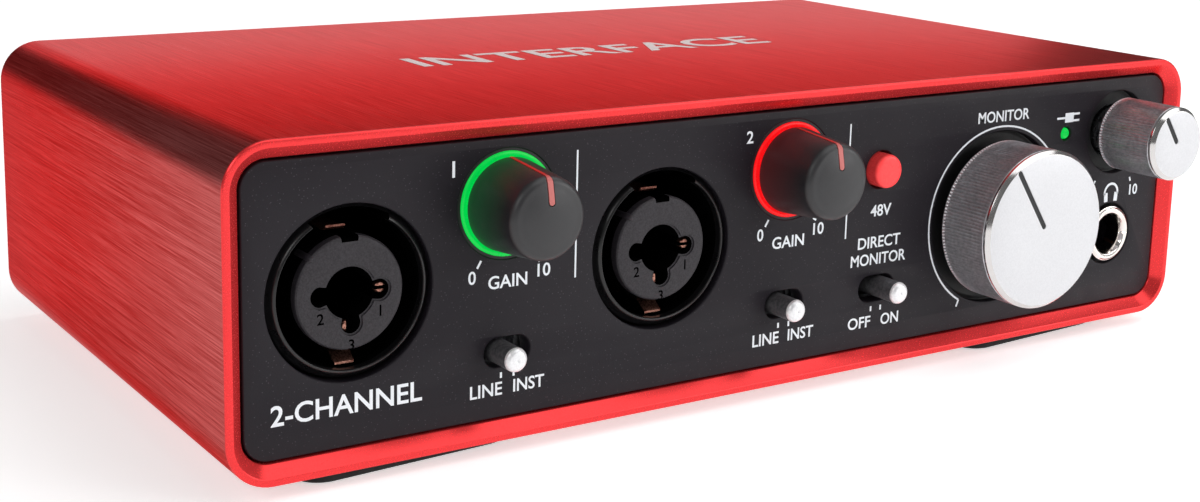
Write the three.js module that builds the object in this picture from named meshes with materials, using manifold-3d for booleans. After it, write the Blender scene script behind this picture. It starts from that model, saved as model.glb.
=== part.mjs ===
// A desktop audio interface: an anodised aluminium sleeve around a tray of electronics, with two combination
// sockets, four knobs, a push button, three slide switches and a headphone socket on its front panel.
//
// Everything is built in the case's own frame, in millimetres: x to the right of somebody facing the front panel,
// y from the front rim (0) to the rear rim, and z up from the underside of the sleeve. The exported group moves
// that frame so that the origin lies on the desk, below the middle of the whole object.

import * as THREE from 'three';
import { mergeVertices } from 'three/addons/utils/BufferGeometryUtils.js';
import Module from 'manifold-3d';

const wasm = await Module();
wasm.setup();

// ---- Driving dimensions -------------------------------------------------------------------------------------

const CASE = { width: 175, height: 44.8, depth: 97.5, corner: 6.4, wall: 2.6, land: 1.0, edge: 0.35 };
const FOOT = { length: 33, width: 8, height: 2.2, splay: 4, fromSide: 11.5, fromEnd: 7.6 };
const GAP = 0.3; // clearance where one piece is cut to fit another
const SEAT = 0.05; // clearance where one flat face rests on another
const PANEL = { front: 1.5, thickness: 3, soften: 0.4 };
const REAR = { front: 93.3, thickness: 2 };
const BOARD = { top: 8.1, thickness: 1.6, front: 14.2, back: 91, halfWidth: 77 };
const CONTROL_BOARD = { front: 12, thickness: 1.6, left: -57, right: 77, bottom: 8.4, top: 41 };
const SCREW = { x: 81, inset: 6.5, shank: 1.25, head: 2.6, boss: 2.6, length: 12 };

const COMBO = { z: 23.5, hole: 11.8, bore: 10.3, lift: 0.7, insert: 7.67, jack: 3.45, pin: 1.25, back: 27 };
const COMBO_X = { combo_1: -69.7, combo_2: -20.95 };
const GAIN = { z: 32.8, ring: 7.35, skirt: 6.2, top: 5.7, front: -8.6, back: 0.9, dome: 0.6, round: 1.2 };
const GAIN_X = { gain_1: -46.5, gain_2: 2.4 };
const MONITOR = { x: 45.9, z: 20.8, radius: 12.8, front: -9.2, back: 0.2, chamfer: 0.8, recess: 14.2, angle: 34 };
const HEADPHONE = { x: 73.4, z: 32.6, radius: 6.1, front: -11.2, back: 0.6, chamfer: 0.8, recess: 7.1, angle: 34 };
const SHAFT = { radius: 2.7, bore: 3.0, collar: 4.1 };
const POT = { halfWidth: 4.8, front: 5.2, back: 11.7 };
const PHANTOM = { x: 20.2, z: 31.1, radius: 2.65, front: -0.5, travel: 1.4 };
const LEVER = { z: 12.2, radius: 1.6, front: -3.1, travel: 2, slotWidth: 7.3, slotHeight: 5 };
const LEVER_X = { input_1: -46.35, input_2: 1.95, direct_monitor: 20.45 };
const LEVER_REST = { input_1: -1, input_2: -1, direct_monitor: 1 }; // -1 is the left stop and 1 the right stop
const EARPHONE_JACK = { x: 73, z: 14.9, bush: 4.6, bore: 3.25, recess: 5.3, front: 1.0, back: 27 };
const STATUS_LIGHT = { x: 61, z: 33.3, radius: 0.5 };
const LINE_OUT_X = { line_out_left: -12, line_out_right: -36 };
const LINE_OUT = { z: 20, bush: 5.8, bore: 3.3, nut: 8, front: 68 };
const USB = { x: 56, z: 14.2, width: 12, height: 11, mouthWidth: 8.5, mouthHeight: 7.8, front: 79, tongue: 4.5 };
const LOCK_SLOT = { x: -68, z: 20, width: 7, height: 3 };
const SIDES = { large: 36, medium: 28, small: 20, tiny: 12 }; // facets around a round piece

const RED = finish('#c8262c', 0.38, 0.85);
const PANEL_BLACK = finish('#2f2d31', 0.62, 0.05);
const SOFT_BLACK = finish('#3a3a3e', 0.7, 0);
const SOCKET_BLACK = finish('#18181a', 0.5, 0);
const RUBBER = finish('#1b1b1d', 0.9, 0);
const SILVER = finish('#d7d7da', 0.25, 0.95);
const STEEL = finish('#9a9ca0', 0.35, 0.9);
const COPPER = finish('#b56a4c', 0.4, 0.9);
const GREEN_BOARD = finish('#1f5a34', 0.6, 0);
const CHIP_BLACK = finish('#202124', 0.55, 0);
const LIT_GREEN = finish('#18e060', 0.4, 0);
const LIT_RED = finish('#ff2a2c', 0.4, 0);

// ---- Small tools --------------------------------------------------------------------------------------------

function finish(color, roughness, metalness) {
  return new THREE.MeshStandardMaterial({ color, roughness, metalness });
}

function solid(geometry) {
  const bare = geometry.clone();
  bare.deleteAttribute('normal');
  bare.deleteAttribute('uv');
  const merged = mergeVertices(bare, 1e-4);
  return new wasm.Manifold(new wasm.Mesh({
    numProp: 3,
    vertProperties: new Float32Array(merged.attributes.position.array),
    triVerts: new Uint32Array(merged.index.array),
  }));
}

function geometryOf(body) {
  const mesh = body.getMesh();
  const geometry = new THREE.BufferGeometry();
  geometry.setAttribute('position', new THREE.BufferAttribute(mesh.vertProperties, 3));
  geometry.setIndex(new THREE.BufferAttribute(mesh.triVerts, 1));
  return geometry;
}

// The base with every join added and then every cut taken away.
function carve(base, joins, cuts) {
  let body = solid(base);
  for (const join of joins) {
    body = body.add(solid(join));
  }
  for (const cut of cuts) {
    body = body.subtract(solid(cut));
  }
  return geometryOf(body);
}

function block(x, y, z, width, depth, height) {
  return new THREE.BoxGeometry(width, depth, height).translate(x, y, z);
}

// A round bar along y between two depths.
function bar(x, z, radius, from, to, sides = SIDES.medium) {
  return new THREE.CylinderGeometry(radius, radius, to - from, sides).translate(x, (from + to) / 2, z);
}

// A solid of revolution about a y axis through (x, z): the outline is [radius, y] pairs, listed from its front.
function turned(x, z, outline, sides = SIDES.medium) {
  const points = outline.map(([radius, y]) => new THREE.Vector2(radius, y));
  return new THREE.LatheGeometry(points, sides).translate(x, 0, z);
}

// A turned ring with a rectangular section.
function ring(x, z, inner, outer, from, to, sides = SIDES.medium) {
  const section = [[inner, from], [outer, from], [outer, to], [inner, to], [inner, from]];
  return turned(x, z, section, sides);
}

// A flat outline in x and z, pushed along y.
function pushed(shape, from, to, bevel = 0, curveSegments = 8) {
  const depth = to - from - 2 * bevel;
  const options = { depth, curveSegments, bevelEnabled: bevel > 0 };
  Object.assign(options, { bevelThickness: bevel, bevelSize: bevel, bevelOffset: -bevel, bevelSegments: 1 });
  return new THREE.ExtrudeGeometry(shape, options).rotateX(Math.PI / 2).translate(0, to - bevel, 0);
}

function roundedRectangle(x, z, width, height, radius) {
  const shape = new THREE.Shape();
  const right = x + width / 2;
  const top = z + height / 2;
  const left = x - width / 2;
  const bottom = z - height / 2;
  shape.absarc(right - radius, top - radius, radius, 0, Math.PI / 2);
  shape.absarc(left + radius, top - radius, radius, Math.PI / 2, Math.PI);
  shape.absarc(left + radius, bottom + radius, radius, Math.PI, 1.5 * Math.PI);
  shape.absarc(right - radius, bottom + radius, radius, 1.5 * Math.PI, 2 * Math.PI);
  return shape;
}

// The outline that lies a given distance inside the case's own section.
function caseOutline(inset) {
  const { width, height, corner } = CASE;
  return roundedRectangle(0, height / 2, width - 2 * inset, height - 2 * inset, corner - inset);
}

const unit = new THREE.Group();

function add(name, geometry, material) {
  const mesh = new THREE.Mesh(geometry, material);
  mesh.name = name;
  unit.add(mesh);
  return mesh;
}

// ---- Case ---------------------------------------------------------------------------------------------------

// Carries a closed section, listed as [inset, y] pairs, once around the case's outline.
function sweptAroundCase(section) {
  const rings = section.map(([inset, y]) => {
    const outline = caseOutline(inset).extractPoints(5).shape;
    return mergeTail(outline).map((point) => [point.x, y, point.y]);
  });
  const count = rings[0].length;
  const positions = rings.flat(2);
  const index = [];
  rings.forEach((_, j) => {
    const next = (j + 1) % rings.length;
    for (let i = 0; i < count; i += 1) {
      const k = (i + 1) % count;
      index.push(j * count + i, j * count + k, next * count + i);
      index.push(j * count + k, next * count + k, next * count + i);
    }
  });
  const geometry = new THREE.BufferGeometry();
  geometry.setAttribute('position', new THREE.Float32BufferAttribute(positions, 3));
  geometry.setIndex(index);
  return geometry;
}

// An outline's last point repeats its first, so it is dropped.
function mergeTail(points) {
  const closes = points[0].distanceTo(points[points.length - 1]) < 1e-6;
  return closes ? points.slice(0, -1) : points;
}

function screwPlaces() {
  const heights = [SCREW.inset, CASE.height - SCREW.inset];
  return [-SCREW.x, SCREW.x].flatMap((x) => heights.map((z) => [x, z]));
}

function buildSleeve() {
  const { depth, wall, land, edge } = CASE;
  const slope = wall - land;
  const section = [
    [edge, 0], [land, 0], [wall, slope], [wall, depth - slope], [land, depth], [edge, depth],
    [0, depth - edge], [0, edge],
  ];
  const start = PANEL.front + PANEL.thickness + 2;
  const end = REAR.front - SEAT;
  const joins = screwPlaces().flatMap(([x, z]) => {
    const web = block(x + Math.sign(x) * 2.2, (start + end) / 2, z, 4.4, end - start, 2);
    return [bar(x, z, SCREW.boss, start, end, SIDES.tiny), web];
  });
  const cuts = screwPlaces().map(([x, z]) => bar(x, z, SCREW.shank + GAP, start - 1, end + 1, SIDES.tiny));
  add('outer_sleeve', carve(sweptAroundCase(section), joins, cuts), RED);
}

function buildFeet() {
  const places = { front: FOOT.fromEnd, rear: CASE.depth - FOOT.fromEnd };
  const sides = { left: -1, right: 1 };
  for (const [end, y] of Object.entries(places)) {
    for (const [side, sign] of Object.entries(sides)) {
      const outline = roundedRectangle(0, 0, FOOT.length, FOOT.width, 0.45 * FOOT.width);
      const pad = pushed(outline, SEAT, FOOT.height, 0.4, 4).rotateX(-Math.PI / 2);
      const foot = add(`foot_${end}_${side}`, pad, RUBBER);
      const turn = sign * (end === 'front' ? 1 : -1);
      foot.rotation.z = THREE.MathUtils.degToRad(-turn * FOOT.splay);
      const x = sign * (CASE.width / 2 - FOOT.fromSide - FOOT.length / 2);
      foot.position.set(x, y, 0);
    }
  }
}

function buildFrontPanel() {
  const back = PANEL.front + PANEL.thickness;
  const through = (x, z, radius, sides) => bar(x, z, radius, 0, back + 1, sides);
  const dish = (x, z, radius, depth) => bar(x, z, radius, 0, PANEL.front + depth, SIDES.medium);
  const slots = Object.values(LEVER_X).map((x) => pushed(
    roundedRectangle(x, LEVER.z, LEVER.slotWidth, LEVER.slotHeight, 2), 0, back + 1, 0, 4,
  ));
  const cuts = [
    ...Object.values(COMBO_X).map((x) => through(x, COMBO.z, COMBO.hole, SIDES.large)),
    ...Object.values(GAIN_X).map((x) => through(x, GAIN.z, GAIN.ring + 0.15, SIDES.medium)),
    ...slots,
    dish(MONITOR.x, MONITOR.z, MONITOR.recess, 1.4),
    through(MONITOR.x, MONITOR.z, SHAFT.collar + GAP, SIDES.small),
    dish(HEADPHONE.x, HEADPHONE.z, HEADPHONE.recess, 1.4),
    through(HEADPHONE.x, HEADPHONE.z, SHAFT.collar + GAP, SIDES.small),
    dish(EARPHONE_JACK.x, EARPHONE_JACK.z, EARPHONE_JACK.recess, 1.2),
    through(EARPHONE_JACK.x, EARPHONE_JACK.z, EARPHONE_JACK.bush + 0.2, SIDES.medium),
    through(PHANTOM.x, PHANTOM.z, PHANTOM.radius + GAP, SIDES.small),
    through(STATUS_LIGHT.x, STATUS_LIGHT.z, STATUS_LIGHT.radius + GAP, SIDES.tiny),
  ];
  const plate = pushed(caseOutline(CASE.wall + GAP), PANEL.front, back, PANEL.soften, 4);
  add('front_panel', carve(plate, [], cuts), PANEL_BLACK);
}

function buildRearPanel() {
  const back = REAR.front + REAR.thickness;
  const through = (x, z, radius, sides) => bar(x, z, radius, REAR.front - 1, back + 1, sides);
  const window = (place, width, height) => (
    block(place.x, REAR.front, place.z, width, 4 * REAR.thickness, height)
  );
  const cuts = [
    ...Object.values(LINE_OUT_X).map((x) => through(x, LINE_OUT.z, LINE_OUT.bush + GAP, SIDES.medium)),
    ...screwPlaces().map(([x, z]) => through(x, z, SCREW.shank + GAP, SIDES.tiny)),
    window(USB, USB.width + 2 * GAP, USB.height + 2 * GAP),
    window(LOCK_SLOT, LOCK_SLOT.width, LOCK_SLOT.height),
  ];
  const plate = pushed(caseOutline(CASE.wall + GAP), REAR.front, back, 0, 4);
  add('rear_panel', carve(plate, [], cuts), PANEL_BLACK);
}

function buildRearScrews() {
  const head = REAR.front + REAR.thickness + SEAT;
  const tip = head - SCREW.length;
  const top = head + 1.6;
  const outline = [[0, tip], [SCREW.shank, tip], [SCREW.shank, head], [SCREW.head, head]];
  outline.push([SCREW.head, top - 0.5], [SCREW.head - 0.6, top], [0, top]);
  screwPlaces().forEach(([x, z], i) => {
    const slots = [block(x, top, z, 3, 1.6, 0.6), block(x, top, z, 0.6, 1.6, 3)];
    add(`rear_screw_${i + 1}`, carve(turned(x, z, outline, SIDES.tiny), [], slots), STEEL);
  });
}

function buildTray() {
  const half = BOARD.halfWidth;
  const floor = CASE.wall + GAP;
  const rest = BOARD.top - BOARD.thickness - GAP;
  const sheet = 1.2;
  const profile = new THREE.Shape();
  profile.moveTo(-half, floor);
  profile.lineTo(half, floor);
  profile.lineTo(half, rest);
  profile.lineTo(half - sheet, rest);
  profile.lineTo(half - sheet, floor + sheet);
  profile.lineTo(sheet - half, floor + sheet);
  profile.lineTo(sheet - half, rest);
  profile.lineTo(-half, rest);
  profile.closePath();
  const posts = [-60, 60].flatMap((x) => [24, 82].map((y) => {
    const post = new THREE.CylinderGeometry(2.5, 2.5, rest - floor - 0.5, SIDES.tiny).rotateX(Math.PI / 2);
    return post.translate(x, y, (rest + floor + 0.5) / 2);
  }));
  add('chassis_tray', carve(pushed(profile, 6, 92), posts, []), STEEL);
}

// ---- Boards -------------------------------------------------------------------------------------------------

function buildBoards() {
  const { top, thickness, front, back, halfWidth } = BOARD;
  const length = back - front;
  const main = block(0, front + length / 2, top - thickness / 2, 2 * halfWidth, length, thickness);
  add('main_board', main, GREEN_BOARD);

  const upright = CONTROL_BOARD;
  const x = (upright.left + upright.right) / 2;
  const y = upright.front + upright.thickness / 2;
  const z = (upright.bottom + upright.top) / 2;
  const plate = block(x, y, z, upright.right - upright.left, upright.thickness, upright.top - upright.bottom);
  const socketWindow = block(COMBO_X.combo_2, y, 22, 24.5, 8, 28);
  const jackWindow = block(EARPHONE_JACK.x, y, 12, 12.4, 8, 19);
  add('control_board', carve(plate, [], [socketWindow, jackWindow]), GREEN_BOARD);
}

function buildComponents() {
  const onBoard = BOARD.top + SEAT;
  const chips = { usb_controller_chip: [38, 58, 10], converter_chip: [4, 46, 8] };
  for (const [name, [x, y, width]] of Object.entries(chips)) {
    add(name, block(x, y, onBoard + 0.6, width, width, 1.2), CHIP_BLACK);
  }
  const capacitors = { supply_capacitor_1: [62, 46], supply_capacitor_2: [62, 60] };
  for (const [name, [x, y]] of Object.entries(capacitors)) {
    const can = new THREE.CylinderGeometry(4, 4, 11, SIDES.small).rotateX(Math.PI / 2);
    add(name, can.translate(x, y, onBoard + 5.5), STEEL);
  }
}

// ---- Combination sockets ------------------------------------------------------------------------------------

function buildComboHousing(name, x) {
  const { z, hole, bore, lift, back } = COMBO;
  const front = PANEL.front + 0.4;
  const shell = block(x, (back + 4.8) / 2, 22.4, 23.8, back - 4.8, 25.6);
  const flange = bar(x, z, hole - GAP, front, 6, SIDES.large);
  const mouth = turned(x, z + lift / 2, [
    [0, front - 1], [hole, front - 1], [hole - 0.55, front], [bore, front + 1.2], [bore, front + 2],
    [0, front + 2],
  ], SIDES.large);
  const socket = bar(x, z + lift, bore, front + 1, back - 3, SIDES.large);
  const latch = block(x, front + 1.5, z + 11, 11, 4, 4);
  const jackWay = bar(x, z, COMBO.jack, back - 5, back + 1, SIDES.small);
  const body = carve(shell, [flange], [mouth, socket, latch, jackWay]);
  add(`${name}_housing`, body, SOCKET_BLACK);
}

function buildComboInsert(name, x) {
  const { z, insert, jack, pin, back } = COMBO;
  const front = PANEL.front + 0.7;
  const end = back - 3 - GAP;
  const outline = [[0, front], [insert - 0.3, front], [insert, front + 0.3], [insert, end], [0, end]];
  const pins = [[4.25, 0.05], [-4.25, 0.05], [0.1, -4.1]].map(([dx, dz]) => (
    bar(x + dx, z + dz, pin, front - 1, front + 14, SIDES.tiny)
  ));
  const key = block(x, front + 5, z + insert, 2.7, 12, 1.8);
  const jackWay = bar(x, z, jack, front - 1, end + 1, SIDES.small);
  add(`${name}_insert`, carve(turned(x, z, outline, SIDES.large), [], [...pins, key, jackWay]), SOCKET_BLACK);
}

// A leaf spring that bows towards the middle of the socket.
function buildComboContact(name, x, z, bow) {
  const from = PANEL.front + 2.4;
  const to = 20;
  const thickness = 0.35;
  const middle = (from + to) / 2;
  const leaf = new THREE.Shape();
  leaf.moveTo(from, 0);
  leaf.quadraticCurveTo(middle, bow, to, 0);
  leaf.lineTo(to, thickness);
  leaf.quadraticCurveTo(middle, bow + thickness, from, thickness);
  leaf.closePath();
  const width = 2.9;
  const strip = new THREE.ExtrudeGeometry(leaf, { depth: width, bevelEnabled: false, curveSegments: 8 });
  strip.rotateX(Math.PI / 2).rotateZ(Math.PI / 2).translate(x - width / 2, 0, z);
  add(name, strip, COPPER);
}

function buildComboSocket(name, x) {
  buildComboHousing(name, x);
  buildComboInsert(name, x);
  buildComboContact(`${name}_upper_contact`, x - 2.3, COMBO.z + 9.2, -0.7);
  buildComboContact(`${name}_lower_contact`, x - 1.1, COMBO.z - 8.9, 0.5);
}

// ---- Rotary controls ----------------------------------------------------------------------------------------

function buildPot(name, x, z) {
  const { halfWidth, front, back } = POT;
  const body = block(x, (front + back) / 2, z, 2 * halfWidth, back - front, 2 * halfWidth);
  const collar = bar(x, z, SHAFT.collar, PANEL.front + 1, front + 1, SIDES.small);
  const bore = bar(x, z, SHAFT.bore, 0, back - 1.5, SIDES.small);
  add(`${name}_pot`, carve(body, [collar], [bore]), STEEL);
}

function buildShaft(name, x, z, tip) {
  add(`${name}_shaft`, bar(x, z, SHAFT.radius, tip, POT.back - 1.5 - GAP, SIDES.small), STEEL);
}

// The soft knob's side and rounded front edge, moved inwards by inset, as [distance from the axis, y] pairs.
function softKnobOutline(inset) {
  const { skirt, top, front, back, dome, round } = GAIN;
  const points = [];
  for (let step = 0; step <= 4; step += 1) {
    const angle = (step / 4) * (Math.PI / 2);
    const reach = round - inset;
    points.push([top - round + reach * Math.sin(angle), front + round - reach * Math.cos(angle)]);
  }
  const crown = [[0, 1], [0.35, 0.86], [0.7, 0.45]].map(([share, rise]) => (
    [share * (top - round), front + inset - dome * rise]
  ));
  return [...crown, ...points, [skirt - inset, back]];
}

// The slice of the knob between two insets, from the pointer's start to the skirt, with a given thickness.
function pointerSlice(x, outer, inner, start, width) {
  const path = (inset) => softKnobOutline(inset).filter(([reach]) => reach >= start);
  const shape = new THREE.Shape();
  const edge = [...path(outer), ...path(inner).reverse()];
  edge.forEach(([reach, y], i) => (i === 0 ? shape.moveTo(y, reach) : shape.lineTo(y, reach)));
  shape.closePath();
  const slice = new THREE.ExtrudeGeometry(shape, { depth: width, bevelEnabled: false });
  return slice.rotateX(Math.PI / 2).rotateZ(Math.PI / 2).translate(x - width / 2, 0, GAIN.z);
}

function buildGainControl(name, x) {
  const { z, ring: glow, back } = GAIN;
  const boreEnd = -5;
  const outline = [...softKnobOutline(0), [SHAFT.bore, back], [SHAFT.bore, boreEnd], [0, boreEnd]];
  const groove = pointerSlice(x, -0.8, 0.85, 1.4, 1.3);
  add(`${name}_knob`, carve(turned(x, z, outline), [], [groove]), SOFT_BLACK);
  add(`${name}_pointer`, pointerSlice(x, 0.1, 0.55, 1.6, 0.8), LIT_RED);
  buildShaft(name, x, z, boreEnd + GAP);
  buildPot(name, x, z);
  const lit = name === 'gain_1' ? LIT_GREEN : LIT_RED;
  add(`${name}_light_ring`, ring(x, z, SHAFT.collar + 0.6, glow, PANEL.front, POT.front - GAP), lit);
}

// A hollow metal knob with a polished chamfer, an inner boss, and a line engraved from the middle to its edge.
function buildMetalControl(name, place) {
  const { x, z, radius, front, back, chamfer, angle } = place;
  const skirt = radius > 8 ? 1.6 : 1;
  const inside = front + 3;
  const boss = SHAFT.bore + 1.2;
  const outline = [
    [0, front], [radius - chamfer, front], [radius, front + chamfer], [radius, back - 0.4], [radius - 0.4, back],
    [radius - skirt, back], [radius - skirt, inside], [boss, inside], [boss, back], [SHAFT.bore, back],
    [SHAFT.bore, inside], [0, inside],
  ];
  const start = 0.5;
  const end = radius - chamfer - 0.3;
  const line = block(0, front, (start + end) / 2, 0.6, 0.7, end - start);
  line.rotateY(THREE.MathUtils.degToRad(-angle)).translate(x, 0, z);
  add(`${name}_knob`, carve(turned(x, z, outline, SIDES.large), [], [line]), SILVER);
  buildShaft(name, x, z, inside + GAP);
  buildPot(name, x, z);
}

// ---- Button, slide switches, light and headphone socket -----------------------------------------------------

function buildPhantomButton() {
  const { x, z, radius, front, travel } = PHANTOM;
  const end = PANEL.front + PANEL.thickness + 0.6;
  const stem = 1.2;
  const reach = end + 2.4;
  const outline = [
    [0, front], [radius - 0.35, front], [radius, front + 0.35], [radius, end], [stem, end], [stem, reach],
    [0, reach],
  ];
  add('phantom_button', turned(x, z, outline, SIDES.small), LIT_RED);
  const face = end + travel + GAP;
  const body = block(x, (face + POT.back) / 2, z, 7, POT.back - face, 7);
  add('phantom_switch', carve(body, [], [bar(x, z, stem + GAP, face - 1, POT.back - 1, SIDES.tiny)]), CHIP_BLACK);
}

function buildSlideSwitch(name, middle) {
  const { z, radius, front, travel } = LEVER;
  const x = middle + (LEVER_REST[name] * travel) / 2;
  const face = PANEL.front + PANEL.thickness + GAP;
  const root = face + 2.4;
  const outline = [[0, front + 0.25], [radius - 0.6, front], [radius, front + 0.6], [radius, root], [0, root]];
  add(`${name}_lever`, turned(x, z, outline, SIDES.small), SILVER);
  const body = block(middle, (face + POT.back) / 2, z, 10.6, POT.back - face, 6.8);
  const track = block(middle, face + 1, z, 2 * radius + travel + 2 * GAP, 4.2, 2 * radius + 2 * GAP);
  add(`${name}_switch`, carve(body, [], [track]), STEEL);
}

function buildStatusLight() {
  const { x, z, radius } = STATUS_LIGHT;
  const from = PANEL.front + 0.2;
  add('status_light', bar(x, z, radius, from, CONTROL_BOARD.front - GAP, SIDES.tiny), LIT_GREEN);
}

function buildHeadphoneSocket() {
  const { x, z, bush, bore, front, back } = EARPHONE_JACK;
  const face = PANEL.front + PANEL.thickness + GAP;
  const outline = [
    [bore, front], [bush - 0.5, front], [bush, front + 0.4], [bush, face - GAP], [bore, face - GAP],
    [bore, front],
  ];
  add('headphone_bush', turned(x, z, outline, SIDES.medium), SILVER);
  const height = 12.4;
  const body = block(x, (face + back) / 2, BOARD.top + GAP + height / 2, 11.6, back - face, height);
  add('headphone_socket', carve(body, [], [bar(x, z, bore, 0, back - 1.5, SIDES.small)]), SOCKET_BLACK);
}

// ---- Rear connectors ----------------------------------------------------------------------------------------

function buildLineOut(name, x) {
  const { z, bush, bore, nut, front } = LINE_OUT;
  const face = REAR.front - GAP;
  const outside = REAR.front + REAR.thickness;
  const body = block(x, (front + face) / 2, (BOARD.top + GAP + 28) / 2, 15, face - front, 28 - BOARD.top - GAP);
  const collar = bar(x, z, bush, face - 1, outside + 1.9, SIDES.medium);
  const jackWay = bar(x, z, bore, front + 2, outside + 3, SIDES.small);
  add(`${name}_socket`, carve(body, [collar], [jackWay]), SOCKET_BLACK);
  const hexagon = bar(x, z, nut, outside + SEAT, outside + 1.8, 6);
  const threadWay = bar(x, z, bush + GAP, outside - 1, outside + 3, SIDES.medium);
  add(`${name}_nut`, carve(hexagon, [], [threadWay]), STEEL);
}

function buildUsbSocket() {
  const { x, z, width, height, mouthWidth, mouthHeight, front, tongue } = USB;
  const mouth = REAR.front + REAR.thickness + 0.4;
  const shell = block(x, (front + mouth) / 2, z, width, mouth - front, height);
  const way = block(x, (front + 2 + mouth + 1) / 2, z, mouthWidth, mouth + 1 - front - 2, mouthHeight);
  add('usb_shell', carve(shell, [], [way]), STEEL);
  const end = mouth - tongue;
  const root = front + 2 + SEAT;
  add('usb_tongue', block(x, (root + end) / 2, z, 5.6, end - root, 3.2), SOCKET_BLACK);
}

// ---- Assembly -----------------------------------------------------------------------------------------------

buildSleeve();
buildFeet();
buildFrontPanel();
buildRearPanel();
buildRearScrews();
buildTray();
buildBoards();
buildComponents();
for (const [name, x] of Object.entries(COMBO_X)) {
  buildComboSocket(name, x);
}
for (const [name, x] of Object.entries(GAIN_X)) {
  buildGainControl(name, x);
}
buildMetalControl('monitor', MONITOR);
buildMetalControl('headphone', HEADPHONE);
buildPhantomButton();
for (const [name, middle] of Object.entries(LEVER_X)) {
  buildSlideSwitch(name, middle);
}
buildStatusLight();
buildHeadphoneSocket();
for (const [name, x] of Object.entries(LINE_OUT_X)) {
  buildLineOut(name, x);
}
buildUsbSocket();

// The tallest knob sets how far the object reaches forwards.
unit.position.set(0, -(CASE.depth + HEADPHONE.front) / 2, FOOT.height);

export default unit;
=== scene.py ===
"""The looks of a desktop audio interface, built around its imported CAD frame.

Shapes are drawn in the case's own frame, in millimetres: x to the right of somebody facing the front panel,
y from the front rim backwards and z up from the underside of the sleeve. case_to_frame carries them into
the frame's metres, so that each detailed piece lies exactly over the CAD node that it stands for.
"""

import math

import bmesh
import bpy
from mathutils import Matrix, Vector


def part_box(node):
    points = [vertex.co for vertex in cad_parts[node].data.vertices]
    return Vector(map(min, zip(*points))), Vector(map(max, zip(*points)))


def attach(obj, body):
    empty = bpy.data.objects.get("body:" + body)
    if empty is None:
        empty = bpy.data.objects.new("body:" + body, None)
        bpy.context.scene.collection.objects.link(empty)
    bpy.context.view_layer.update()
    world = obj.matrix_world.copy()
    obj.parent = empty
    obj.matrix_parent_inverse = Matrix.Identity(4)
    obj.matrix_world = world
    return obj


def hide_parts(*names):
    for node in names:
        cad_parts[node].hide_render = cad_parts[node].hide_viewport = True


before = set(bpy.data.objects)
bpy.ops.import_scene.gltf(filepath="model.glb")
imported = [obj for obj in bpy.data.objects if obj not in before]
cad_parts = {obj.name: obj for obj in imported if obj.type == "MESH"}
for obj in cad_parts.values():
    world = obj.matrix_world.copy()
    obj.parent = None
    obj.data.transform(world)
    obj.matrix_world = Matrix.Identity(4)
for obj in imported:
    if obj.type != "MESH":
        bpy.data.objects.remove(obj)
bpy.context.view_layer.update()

# ---- Driving dimensions ----

MM = 0.001
sleeve_low, sleeve_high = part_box("outer_sleeve")
CASE_ORIGIN = Vector(((sleeve_low.x + sleeve_high.x) / 2, sleeve_low.y, sleeve_low.z))
CASE_SIZE = (sleeve_high - sleeve_low) / MM
case_to_frame = Matrix.Translation(CASE_ORIGIN) @ Matrix.Scale(MM, 4)

SIDES = ("left", "right")
GAINS = ("gain_1", "gain_2")
COMBOS = ("combo_1", "combo_2")

CASE_CORNER = 6.4
CASE_WALL = 2.6
RIM_LAND = 1.0  # from the outer face to where the bevel on the inside starts
RIM_FILLET = 0.4
PANEL_FRONT = 1.5
PANEL_BACK = 4.5
PANEL_GAP = 0.3
REAR_FRONT = 93.3
REAR_BACK = 95.3
LINE_OUT_HOLE = 6.1
FOOT_LENGTH = 33.0
FOOT_WIDTH = 8.0
FOOT_SPLAY = 4  # degrees, with the front feet turned anticlockwise from above and the rear ones clockwise
PRINT_HEIGHT = 0.03  # how far the printed lettering stands off a surface
LETTER_HEIGHT = 1.85

COMBO_Z = 23.5
COMBO_HOLE = 11.8
COMBO_BORE = 10.3
COMBO_LIFT = 0.2  # the flange and its bore lie a little above the insert's middle
COMBO_BACK = 27
INSERT_RADIUS = 7.62
INSERT_FRONT = 1.75
INSERT_BACK = COMBO_BACK - 3.3
JACK_RADIUS = 3.45
PIN_RADIUS = 1.36
PINS = {"1": (4.2, -0.05), "2": (-4.1, -0.1), "3": (0.15, -4.1)}

GAIN_RING = 7.2
GAIN_HOLE = 7.6
GAIN_SKIRT = 6.5
GAIN_TOP = 5.7
GAIN_FRONT = -9.1
GAIN_BACK = 1.1
GAIN_DOME = 0.6
GAIN_SHOULDER = 1.2
KNOB_STEPS = 8  # across the knob's face, and as many round its shoulder
POINTER_END_STEPS = 5  # extra points that round the pointer's inner end
SHAFT_BORE = 3.0

MONITOR_RECESS = 14.2
HEADPHONE_RECESS = 7.1
POINTER_ANGLE = 34  # degrees to the left of the top, where the two metal knobs point
RIB_DEPTH = 0.25
BUSH_HOLE = 5.3
BUTTON_HOLE = 2.95
LIGHT_HOLE = 1.2

SLOT_WIDTH = 7.2
SLOT_HEIGHT = 4.1
SLOT_CORNER = 2.0
SWITCH_Z = 12.2
SWITCH_X = {"input_1": -46.35, "input_2": 1.95, "direct_monitor": 20.45}


def span(node):
    """The low and high corners of a CAD node's box, in case millimetres."""
    return [(corner - CASE_ORIGIN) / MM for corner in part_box(node)]


def middle(node):
    low, high = span(node)
    return (low + high) / 2


def combo_middle(name):
    """The middle of a combination socket's insert, in case millimetres."""
    return Vector((middle(f"{name}_housing").x, 0, COMBO_Z))


# ---- Mesh tools ----


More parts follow.
